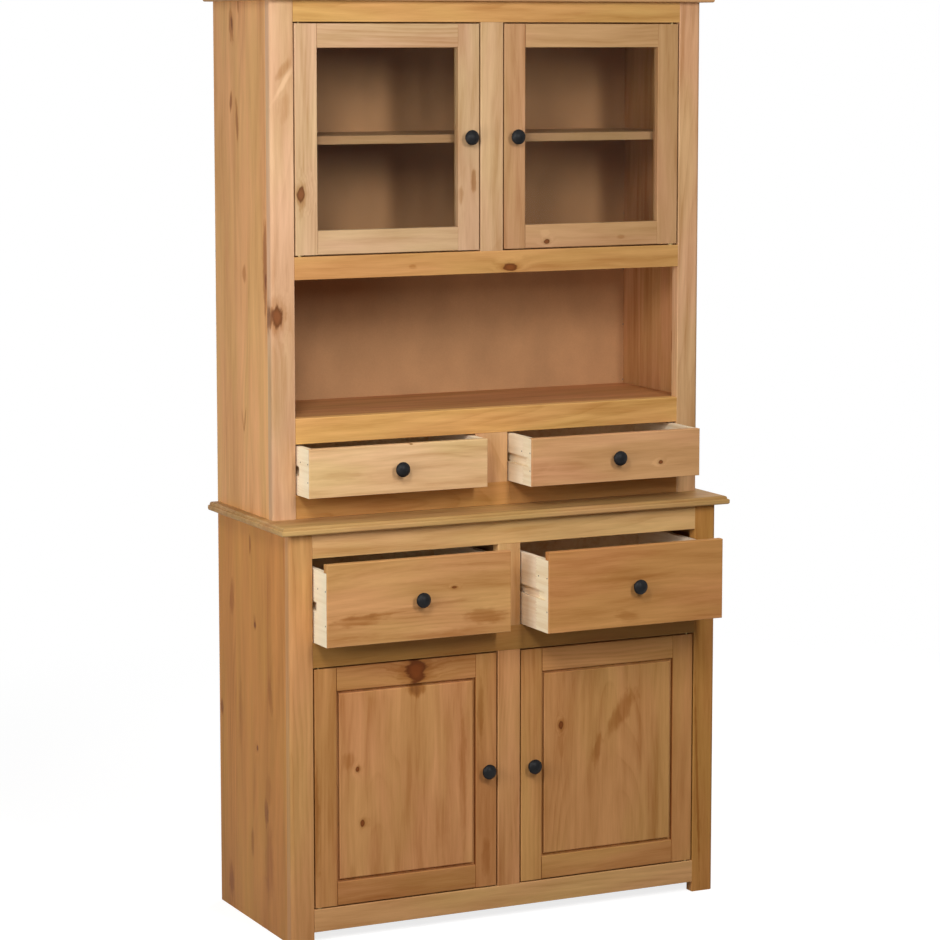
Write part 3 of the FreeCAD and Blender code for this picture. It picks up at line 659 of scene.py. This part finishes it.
BOARDS["base_right_drawer_front"] = dict(
    tone=(0.514, 0.238, 0.080), grain="x", deep="y", seed=43, pith=(0.68, 0.13), tilt=0.07,
    marks=[(0.208, 0.624, 0.036, 0.016, -0.2, 0.35), (0.220, 0.700, 0.200, 0.010, 0.0, 0.18),
           (0.150, 0.612, 0.150, 0.006, 0.0, -0.2)])
print("With the doors and drawers there are", len(BOARDS), "recipes.")

# %% [markdown]
# ## Bare wood
#
# The drawer boxes are made of short blocks glued end to end. The block behind the front is cream, the next
# ones are pinker and greyer, and nothing covers the wood, so it is paler and duller than the waxed faces.
# The thin bottom is brown fibreboard. It is part of the same piece of the model, so the material finds it
# by its height and by how far it lies inside the box.

# %% Where a drawer's bottom is
DRAWER_WALL = 0.012
SLACK = 0.0005


def is_drawer_bottom(tree, place, box, bottom):
    """1 on the thin bottom of a drawer's box, 0 on its walls."""
    x, y, z = place
    low, high = box
    middle, reach = bottom
    wall = DRAWER_WALL - SLACK
    within = number(tree, "LESS_THAN", apart(tree, x, (low.x + high.x) / 2), (high.x - low.x) / 2 - wall)
    before = number(tree, "LESS_THAN", y, high.y - wall)
    level = number(tree, "LESS_THAN", apart(tree, z, middle), reach)
    return number(tree, "MULTIPLY", number(tree, "MULTIPLY", within, before), level)


# %% [markdown]
# The blocks are joined by small fingers, so the line of the glue is a wave. A dull, thirsty surface needs a
# stronger relief and less shine than the waxed boards have.

# %% The bare wood of the drawer boxes
CREAM = (0.92, 0.80, 0.57)
PINKISH = (0.88, 0.72, 0.53)
GLUE_LINE = (0.45, 0.26, 0.13)
FIBRE_BROWN = (0.55, 0.37, 0.22)
BARE_SHADES = [(0.0, (1.10, 1.12, 1.16)), (0.25, (1.0, 1.0, 1.0)), (0.5, (0.84, 0.74, 0.60)),
               (1.0, (0.55, 0.40, 0.26))]
BLOCK_LENGTH = 0.15
FINGER_TURNS = 1100.0
FINGER_DEPTH = 0.003
GLUE_START = 0.4965
GLUE_STRENGTH = 0.45
BARE_STREAKS = (5.0, 110.0, 110.0)
BARE_BROADS = (3.0, 30.0, 30.0)
BARE_FIBRES = (30.0, 900.0, 900.0)
BOTTOM_CLOUDS = (9.0, 9.0, 9.0)
BARE_FINISH = (0.7, 0.15)
BARE_RELIEF = (0.0006, 0.25)


def bare_pine(name, seed, joint=FAR, box=None, bottom=None):
    """Cream wood up to a glued joint at a given y, pinker blocks behind it, and a brown bottom."""
    material, tree, shader = new_material(name)
    x, y, z = split_place(tree)
    wave = number(tree, "SINE", number(tree, "MULTIPLY", z, FINGER_TURNS))
    finger = number(tree, "ADD", y, number(tree, "MULTIPLY", wave, FINGER_DEPTH))
    past = number(tree, "DIVIDE", number(tree, "SUBTRACT", finger, joint), BLOCK_LENGTH)
    lot = chance(tree, number(tree, "ADD", number(tree, "FLOOR", past), seed * 2.11))
    behind = number(tree, "GREATER_THAN", past, 0.0)
    pinker = number(tree, "MULTIPLY", behind, number(tree, "MULTIPLY_ADD", lot, 0.6, 0.4))
    point = combine(tree, number(tree, "MULTIPLY_ADD", lot, 2.0, y), z, x)
    streak = noise(tree, point, BARE_STREAKS, (seed, 0.4, 6.0), 3.0)
    broad = noise(tree, point, BARE_BROADS, (4.0, seed, 1.0), 2.0)
    fibre = noise(tree, point, BARE_FIBRES, (0.9, seed, 2.0), 2.0)
    dark = number(tree, "MULTIPLY_ADD", streak, 1.1, number(tree, "MULTIPLY_ADD", broad, 0.9, -0.72))
    dark = number(tree, "ADD", dark, number(tree, "MULTIPLY_ADD", fibre, 0.3, 0.07))
    shade = bands(tree, number(tree, "MULTIPLY", dark, 0.5), BARE_SHADES)
    colour = mixed(tree, 1.0, mixed(tree, pinker, CREAM, PINKISH), shade, "MULTIPLY")
    from_half = apart(tree, number(tree, "FRACT", past), 0.5)
    colour = mixed(tree, fade(tree, from_half, GLUE_START, 0.5, 0.0, GLUE_STRENGTH), colour, GLUE_LINE)
    if box:
        cloud = noise(tree, combine(tree, x, y, z), BOTTOM_CLOUDS, (seed, 2.0, 0.0), 3.0)
        board = bands(tree, cloud, [(0.35, scaled(FIBRE_BROWN, 0.88)), (0.65, scaled(FIBRE_BROWN, 1.12))])
        colour = mixed(tree, is_drawer_bottom(tree, (x, y, z), box, bottom), colour, board)
    feed(tree, shader.inputs["Base Color"], colour)
    relief(tree, shader, fibre, *BARE_RELIEF)
    set_finish(shader, *BARE_FINISH)
    return material


# %% [markdown]
# ## Fibreboard
#
# The backs are thin smooth fibreboard: brown, a little cloudy, with a fine speckle, and nailed round the
# edge. The nails are driven flush, so their heads are drawn on the board rather than modelled.

# %% The backs and their nails
NAIL_PITCH = 0.12
NAIL_INSET = 0.008
NAIL_HEAD = 0.0019
NAIL_GREY = (0.16, 0.14, 0.12)
CLOUD_WAVES = (13.0, 13.0, 9.0)
SPECKLE_WAVES = (420.0, 420.0, 420.0)
CLOUD_SHARE = 0.75
NAIL_DENT = -2.0
FIBRE_FINISH = (0.6, 0.15)
FIBRE_RELIEF = (0.0004, 0.2)


def nail_row(tree, run, edge, half):
    """How far a point is from the nearest nail of the two rows along a pair of edges."""
    step = number(tree, "SUBTRACT", number(tree, "FRACT", number(tree, "DIVIDE", run, NAIL_PITCH)), 0.5)
    beside = number(tree, "SUBTRACT", number(tree, "ABSOLUTE", edge), half - NAIL_INSET)
    return length_of(tree, number(tree, "MULTIPLY", step, NAIL_PITCH), beside, 0.0)


def fibreboard(name, colour, seed, box):
    """Smooth brown board with a row of nail heads along each of its four edges."""
    material, tree, shader = new_material(name)
    low, high = box
    x, y, z = split_place(tree)
    point = combine(tree, x, y, z)
    cloud = noise(tree, point, CLOUD_WAVES, (seed, 0.0, 0.0), 4.0)
    speckle = noise(tree, point, SPECKLE_WAVES, (0.0, seed, 0.0), 2.0)
    tone = number(tree, "MULTIPLY_ADD", cloud, CLOUD_SHARE,
                  number(tree, "MULTIPLY", speckle, 1 - CLOUD_SHARE))
    board = bands(tree, tone, [(0.3, scaled(colour, 0.87)), (0.5, colour), (0.7, scaled(colour, 1.13))])
    from_middle = number(tree, "SUBTRACT", z, (low.z + high.z) / 2)
    nails = number(tree, "MINIMUM", nail_row(tree, from_middle, x, (high.x - low.x) / 2),
                   nail_row(tree, x, from_middle, (high.z - low.z) / 2))
    head = fade(tree, nails, NAIL_HEAD, NAIL_HEAD * 1.2, 1.0, 0.0)
    feed(tree, shader.inputs["Base Color"], mixed(tree, head, board, NAIL_GREY))
    relief(tree, shader, number(tree, "MULTIPLY_ADD", head, NAIL_DENT, speckle), *FIBRE_RELIEF)
    set_finish(shader, *FIBRE_FINISH)
    return material


# %% [markdown]
# ## Glass, paint and metal
#
# The panes are clear glass. Each pass through a pane costs about an eighth of the light, which is why the
# cupboard looks darker than the niche. A real refracting pane would make the lamps' light noisy, so the
# lamps' rays and the soft light between the boards go straight through, dimmed by the same tint. The pane
# bends light less than window glass does, because at the full strength it mirrors the white studio as a
# grey veil, which the photograph doesn't show.

# %% Glass
PANE_TINT = (0.88, 0.885, 0.87)
PANE_IOR = 1.12


def clear_glass(name):
    """Clear glass for the eye, which lets the lamps' light through in a straight line."""
    material, tree, shader = new_material(name)
    shader.inputs["Base Color"].default_value = (*PANE_TINT, 1)
    shader.inputs["Transmission Weight"].default_value = 1
    shader.inputs["Roughness"].default_value = 0.0
    shader.inputs["IOR"].default_value = PANE_IOR
    open_air = plain_shader(tree, "ShaderNodeBsdfTransparent", Color=(*PANE_TINT, 1))
    path = tree.nodes.new("ShaderNodeLightPath")
    carries_light = number(tree, "MAXIMUM", path.outputs["Is Shadow Ray"], path.outputs["Is Diffuse Ray"])
    show(tree, mix_shaders(tree, carries_light, shader.outputs[0], open_air))
    return material


# %% [markdown]
# The knobs are painted black and hardly shine. Dust makes the paint a little greyer in places. Pins,
# sockets, nails and screws are plain metal, whose turning marks run round.

# %% Black paint and metal
PEEL_WAVES = (700.0, 700.0, 700.0)
DUST_WAVES = (90.0, 90.0, 90.0)
DUST_GAIN = 1.9
DUST_LIFT = 0.004
PAINT_FINISH = (0.42, 0.12)
PAINT_RELIEF = (0.0004, 0.12)
TURNING_WAVES = (900.0, 900.0, 160.0)
SPOT_WAVES = (120.0, 120.0, 120.0)
DULL_SPOT = 0.65
METAL_RELIEF = (0.0003, 0.1)


def matt_paint(name, colour, seed):
    """Paint that has levelled well: almost even, with a faint orange-peel and a little dust."""
    material, tree, shader = new_material(name)
    point = combine(tree, *split_place(tree))
    peel = noise(tree, point, PEEL_WAVES, (seed, 0.0, 0.0), 2.0)
    dust = noise(tree, point, DUST_WAVES, (0.0, seed, 0.0), 3.0)
    dusty = tuple(channel * DUST_GAIN + DUST_LIFT for channel in colour)
    feed(tree, shader.inputs["Base Color"], bands(tree, dust, [(0.35, colour), (0.75, dusty)]))
    relief(tree, shader, peel, *PAINT_RELIEF)
    set_finish(shader, *PAINT_FINISH)
    return material


def plain_metal(name, colour, rough, seed):
    """Metal with fine turning marks and a few duller spots."""
    material, tree, shader = new_material(name)
    point = combine(tree, *split_place(tree))
    marks = noise(tree, point, TURNING_WAVES, (seed, 0.0, 0.0), 2.0)
    spots = noise(tree, point, SPOT_WAVES, (0.0, seed, 0.0), 2.0)
    dull = scaled(colour, DULL_SPOT)
    feed(tree, shader.inputs["Base Color"], bands(tree, spots, [(0.35, colour), (0.7, dull)]))
    relief(tree, shader, marks, *METAL_RELIEF)
    shader.inputs["Metallic"].default_value = 1
    shader.inputs["Roughness"].default_value = rough
    return material


# %% [markdown]
# ## Dressing the model
#
# Each board gets a material of its own, because each has its own grain. Its two long edges are known from
# its box, so the recipe knows where to paint its paler edge highlight.

# %% Give every board its material
def dress(name, material):
    """Puts one material on all of a piece."""
    for holder in nodes[name].material_slots:
        holder.material = material


def long_edges(name, recipe):
    """The middle and half width of a board across its grain."""
    axis = across_axis(recipe["grain"], recipe["deep"])
    low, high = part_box(name)
    return (low[axis] + high[axis]) / 2, (high[axis] - low[axis]) / 2


for name, recipe in BOARDS.items():
    edges = None if recipe.get("frame_of") else long_edges(name, recipe)
    dress(name, pine(name + "_pine", edges=edges, **recipe))
print(len(BOARDS), "boards wear their own pine.")

# %% [markdown]
# The two backs differ in brown. The glass, the paint and the metals are shared by all pieces of their kind.
# The iron of the nails is kept for the nails that are still to be made.

# %% Backs, glass, paint and metals
BACKS = {"base_back_panel": (0.34, 0.20, 0.11), "hutch_back_panel": (0.48, 0.255, 0.118)}
for index, (name, colour) in enumerate(BACKS.items()):
    dress(name, fibreboard(name + "_fibreboard", colour, index + 1.0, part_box(name)))

glass = clear_glass("pane_glass")
black = matt_paint("black_knob_paint", (0.006, 0.006, 0.0065), 3.0)
brass = plain_metal("pin_brass", (0.40, 0.28, 0.12), 0.45, 4.0)
steel = plain_metal("bright_steel", (0.52, 0.51, 0.49), 0.38, 5.0)
nail_iron = plain_metal("nail_iron", (0.16, 0.13, 0.11), 0.55, 6.0)
print("Shared:", ", ".join(material.name for material in (glass, black, brass, steel, nail_iron)))

# %% [markdown]
# Each drawer's box needs to know where its cream block ends, and at which height its bottom lies. Both are
# read off the drawers that stand open in the photograph.

# %% Drawers, doors and what carries them
BASE_BOTTOM = (0.613, 0.0022)
HUTCH_BOTTOM = (0.894, 0.0022)
DRAWERS = {"base_left_drawer": (-0.115, BASE_BOTTOM), "base_right_drawer": (-0.179, BASE_BOTTOM),
           "hutch_left_drawer": (-0.040, HUTCH_BOTTOM), "hutch_right_drawer": (-0.100, HUTCH_BOTTOM)}
DOORS = ("left_panel_door", "right_panel_door", "left_glass_door", "right_glass_door")

for index, (name, (joint, bottom)) in enumerate(DRAWERS.items()):
    box = name + "_box"
    dress(box, bare_pine(box + "_bare_pine", index + 1.0, joint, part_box(box), bottom))
    dress(name + "_knob", black)
for name in DOORS:
    dress(name + "_knob", black)
    dress(name + "_hinge_sockets", brass)
    if "glass" in name:
        dress(name + "_glass", glass)
dress("drawer_runners", bare_pine("runner_bare_pine", 9.0))
dress("hinge_pins", brass)
dress("shelf_pins", steel)

bare = [name for name, item in nodes.items() if not all(s.material.name_full for s in item.material_slots)]
print("Pieces without a material:", bare)

# %% [markdown]
# ## Nails and screws
#
# A nail through each drawer's side holds the front in its rebate, and another pair holds the back. Behind
# every front and door a screw runs into the knob. Both are turned heads, so both start as a disc: it is
# raised, its rim is rounded with a bevel, and the middle is pressed in. A nail is pressed round. A screw's
# recess is a cross, which comes from pulling three of every four points of the inner ring to the middle.

# %% One round head
HEAD_SIDES = 16
NAIL_FORM = {"inset": 0.55, "sink": 0.3, "rounding": 0.4}
SCREW_FORM = {"inset": 0.35, "sink": 0.5, "rounding": 0.6}
CROSS_STEP = 4
CROSS_WAIST = 0.45
AT_THE_RIM = 0.95
NO_DISTANCE = 1e-7


def add_head(shape, place, facing, radius, height, cross):
    """Adds one head that stands on a face, turned to where that face looks."""
    form = SCREW_FORM if cross else NAIL_FORM
    head = bmesh.new()
    ring = bmesh.ops.create_circle(head, cap_ends=True, segments=HEAD_SIDES, radius=radius)["verts"]
    disc = ring[0].link_faces[0]
    grown = bmesh.ops.extrude_face_region(head, geom=[disc])["geom"]
    top = next(item for item in grown if isinstance(item, bmesh.types.BMFace))
    bmesh.ops.translate(head, verts=top.verts[:], vec=(0, 0, height))
    bmesh.ops.inset_individual(head, faces=[top], thickness=radius * form["inset"])
    rim = [edge for edge in head.edges if all(abs(v.co.z - height) < NO_DISTANCE for v in edge.verts)
           and all(v.co.xy.length > radius * AT_THE_RIM for v in edge.verts)]
    sunk = (0, 0, -height * form["sink"])
    if cross:
        for index, vert in enumerate(top.verts):
            if index % CROSS_STEP:
                vert.co.xy *= CROSS_WAIST
        grown = bmesh.ops.extrude_face_region(head, geom=[top])["geom"]
        floor_of_cross = [item for item in grown if isinstance(item, bmesh.types.BMVert)]
        bmesh.ops.translate(head, verts=floor_of_cross, vec=sunk)
        bmesh.ops.delete(head, geom=[top], context="FACES_ONLY")
    else:
        bmesh.ops.translate(head, verts=top.verts[:], vec=sunk)
    bmesh.ops.bevel(head, geom=rim, affect="EDGES", offset=height * form["rounding"], segments=3,
                    profile=0.5, material=-1)
    bmesh.ops.recalc_face_normals(head, faces=head.faces)
    turn = Vector((0, 0, 1)).rotation_difference(Vector(facing)).to_matrix().to_4x4()
    head.transform(Matrix.Translation(place) @ turn)
    one = bpy.data.meshes.new("one_head")
    head.to_mesh(one)
    head.free()
    shape.from_mesh(one)
    bpy.data.meshes.remove(one)


# %% [markdown]
# All heads of one drawer are one piece. It rides on the drawer's body, so it moves with the drawer.

# %% A piece made of heads
def heads(name, rows, body, material, cross=False):
    """One piece made of several heads, riding on one body."""
    shape = bmesh.new()
    for place, facing, radius, height in rows:
        add_head(shape, place, facing, radius, height, cross)
    mesh = bpy.data.meshes.new(name)
    shape.to_mesh(mesh)
    shape.free()
    mesh.materials.append(material)
    piece = bpy.data.objects.new(name, mesh)
    bpy.context.scene.collection.objects.link(piece)
    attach(piece, body)
    return piece


# %% [markdown]
# Nail heads are 3 mm across and stand a quarter of a millimetre proud. Their heights are read off the
# drawers that stand open: two in the front's edge, above and below the groove, and a third one behind.

# %% Nails in the drawer boxes
NAIL_RADIUS = 0.0015
NAIL_PROUD = 0.00025
NAIL_HEIGHTS = {"base": (0.713, 0.645), "hutch": (0.951, 0.915)}
FRONT_NAIL = 0.008
SECOND_NAIL = 0.045
BACK_NAIL = 0.006

for name in DRAWERS:
    low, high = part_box(name + "_box")
    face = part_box(name + "_front")[0].y
    heights = NAIL_HEIGHTS[name.split("_")[0]]
    rows = []
    for x, way in ((low.x, -1), (high.x, 1)):
        spots = [(face + FRONT_NAIL, z) for z in heights] + [(face + SECOND_NAIL, heights[0])]
        spots += [(high.y - BACK_NAIL, z) for z in heights]
        rows += [((x, y, z), (way, 0, 0), NAIL_RADIUS, NAIL_PROUD) for y, z in spots]
    nails = heads(name + "_nails", rows, name, nail_iron)
    print(nails.name, len(rows), "nails", len(nails.data.polygons), "faces")

# %% [markdown]
# The screws sit on the axis of each knob, so their places are the middles of the knobs' boxes.

# %% Screws behind the knobs
SCREW_RADIUS = 0.0042
SCREW_HEIGHT = 0.0022

for name in list(DRAWERS) + list(DOORS):
    low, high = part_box(name + "_knob")
    board = name + ("_front" if "drawer" in name else "_frame")
    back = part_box(board)[1].y
    place = ((low.x + high.x) / 2, back, (low.z + high.z) / 2)
    rows = [(place, (0, 1, 0), SCREW_RADIUS, SCREW_HEIGHT)]
    heads(name + "_knob_screw", rows, name, steel, cross=True)
    print(name, "screw at", [round(v, 4) for v in place])

# %% [markdown]
# ## Light and floor
#
# The shadows of the knobs tell where the lamps of the photograph stood: a tall strip to the left, close to
# the cabinet and higher than it, and a second one in front and a little to the right. Both are narrow, so
# the shadows have clear edges. A large soft box fills the left side and a weak one overhead lights the tops.
# A lamp behind the cabinet lights the floor and the faces that the photograph doesn't show. The last two
# leave no highlights, which would glare on the boards when they are seen from behind.

# %% Lamps
LAMPS = {
    "left_strip": {"place": (-1.3, -1.65, 2.26), "target": (0.0, 0.0, 1.1), "size": (0.35, 0.7), "power": 23},
    "front_strip": {"place": (0.12, -3.1, 2.4), "target": (0.0, 0.0, 1.0), "size": (0.35, 1.2), "power": 46},
    "side_box": {"place": (-2.05, -0.9, 1.12), "target": (0.0, 0.0, 1.08), "size": (1.3, 0.9), "power": 22},
    "top_box": {"place": (0.2, -0.55, 3.2), "target": (0.0, 0.0, 1.0), "size": (1.4, 1.0), "power": 9,
                "gleam": False},
    "rear_lamp": {"place": (2.4, 2.3, 2.0), "target": (0.2, 0.1, 1.0), "size": (1.5, 1.5), "power": 55,
                  "gleam": False},
}


def soft_lamp(name, place, target, size, power, gleam=True):
    """A rectangular lamp behind cloth, turned towards a point. Without gleam it leaves no highlight."""
    data = bpy.data.lights.new(name, "AREA")
    data.shape = "RECTANGLE"
    data.size, data.size_y = size
    data.energy = power
    lamp = bpy.data.objects.new(name, data)
    lamp.location = place
    lamp.rotation_euler = (Vector(target) - Vector(place)).to_track_quat("-Z", "Y").to_euler()
    lamp.visible_camera = False
    lamp.visible_glossy = gleam
    bpy.context.scene.collection.objects.link(lamp)


for name, settings in LAMPS.items():
    soft_lamp(name, **settings)
    print(name, "gives", settings["power"], "W")

# %% [markdown]
# The white of the background is for the eye only: rays that carry light between surfaces see a dimmer
# studio, so the white doesn't wash the wood out.

# %% World
AMBIENT = 0.07


def seen_directly(tree):
    """1 for rays from the camera, from mirrors and through glass, 0 for rays that carry soft light."""
    path = tree.nodes.new("ShaderNodeLightPath")
    seen = path.outputs["Is Camera Ray"]
    for word in ("Is Glossy Ray", "Is Transmission Ray"):
        seen = number(tree, "MAXIMUM", seen, path.outputs[word])
    return seen


world = bpy.data.worlds.new("studio")
world.use_nodes = True
bpy.context.scene.world = world
studio = world.node_tree
background = next(node for node in studio.nodes if node.type == "BACKGROUND")
background.inputs["Color"].default_value = (1, 1, 1, 1)
feed(studio, background.inputs["Strength"], choose(studio, seen_directly(studio), AMBIENT, 1.0))
print("Soft light from the studio:", AMBIENT)

# %% [markdown]
# The floor is pale and takes the cabinet's shadow close by. Further out it fades into the white of the
# background, as a roll of paper does. Rays that carry light see a darker paper, so it doesn't light the
# cabinet from below.

# %% Floor
FLOOR_HALF = 14.0

floor_mesh = bpy.data.meshes.new("floor")
shape = bmesh.new()
bmesh.ops.create_grid(shape, x_segments=1, y_segments=1, size=FLOOR_HALF)
shape.to_mesh(floor_mesh)
shape.free()
floor = bpy.data.objects.new("floor", floor_mesh)
bpy.context.scene.collection.objects.link(floor)
print("The floor reaches", FLOOR_HALF, "m each way.")

# %% [markdown]
# The paper that the eye sees is a grey that takes shadows, lifted by a little light of its own until its lit
# part is white.

# %% The floor's paper
FADE_START = 1.3
FADE_END = 3.0
PAPER_IN_LIGHT = (0.25, 0.24, 0.23, 1)
PAPER_SEEN = (0.42, 0.42, 0.42, 1)
PAPER_LIFT = 0.80

paper, paper_tree, spare_shader = new_material("floor_paper")
paper_tree.nodes.remove(spare_shader)
in_light = plain_shader(paper_tree, "ShaderNodeBsdfDiffuse", Color=PAPER_IN_LIGHT)
white = plain_shader(paper_tree, "ShaderNodeEmission")
lifted = paper_tree.nodes.new("ShaderNodeAddShader")
feed(paper_tree, lifted.inputs[0], plain_shader(paper_tree, "ShaderNodeBsdfDiffuse", Color=PAPER_SEEN))
feed(paper_tree, lifted.inputs[1], plain_shader(paper_tree, "ShaderNodeEmission", Strength=PAPER_LIFT))
floor_x, floor_y, _ = split_place(paper_tree)
far = fade(paper_tree, length_of(paper_tree, floor_x, floor_y, 0.0), FADE_START, FADE_END)
to_the_eye = mix_shaders(paper_tree, far, lifted.outputs[0], white)
show(paper_tree, mix_shaders(paper_tree, seen_directly(paper_tree), in_light, to_the_eye))
floor_mesh.materials.append(paper)
print("The floor is white beyond", FADE_END, "m.")

# %% [markdown]
# ## Colours to the picture
#
# Colours go to the picture as they are, without a film look.

# %% Colours, and the end
bpy.context.scene.view_settings.view_transform = "Standard"
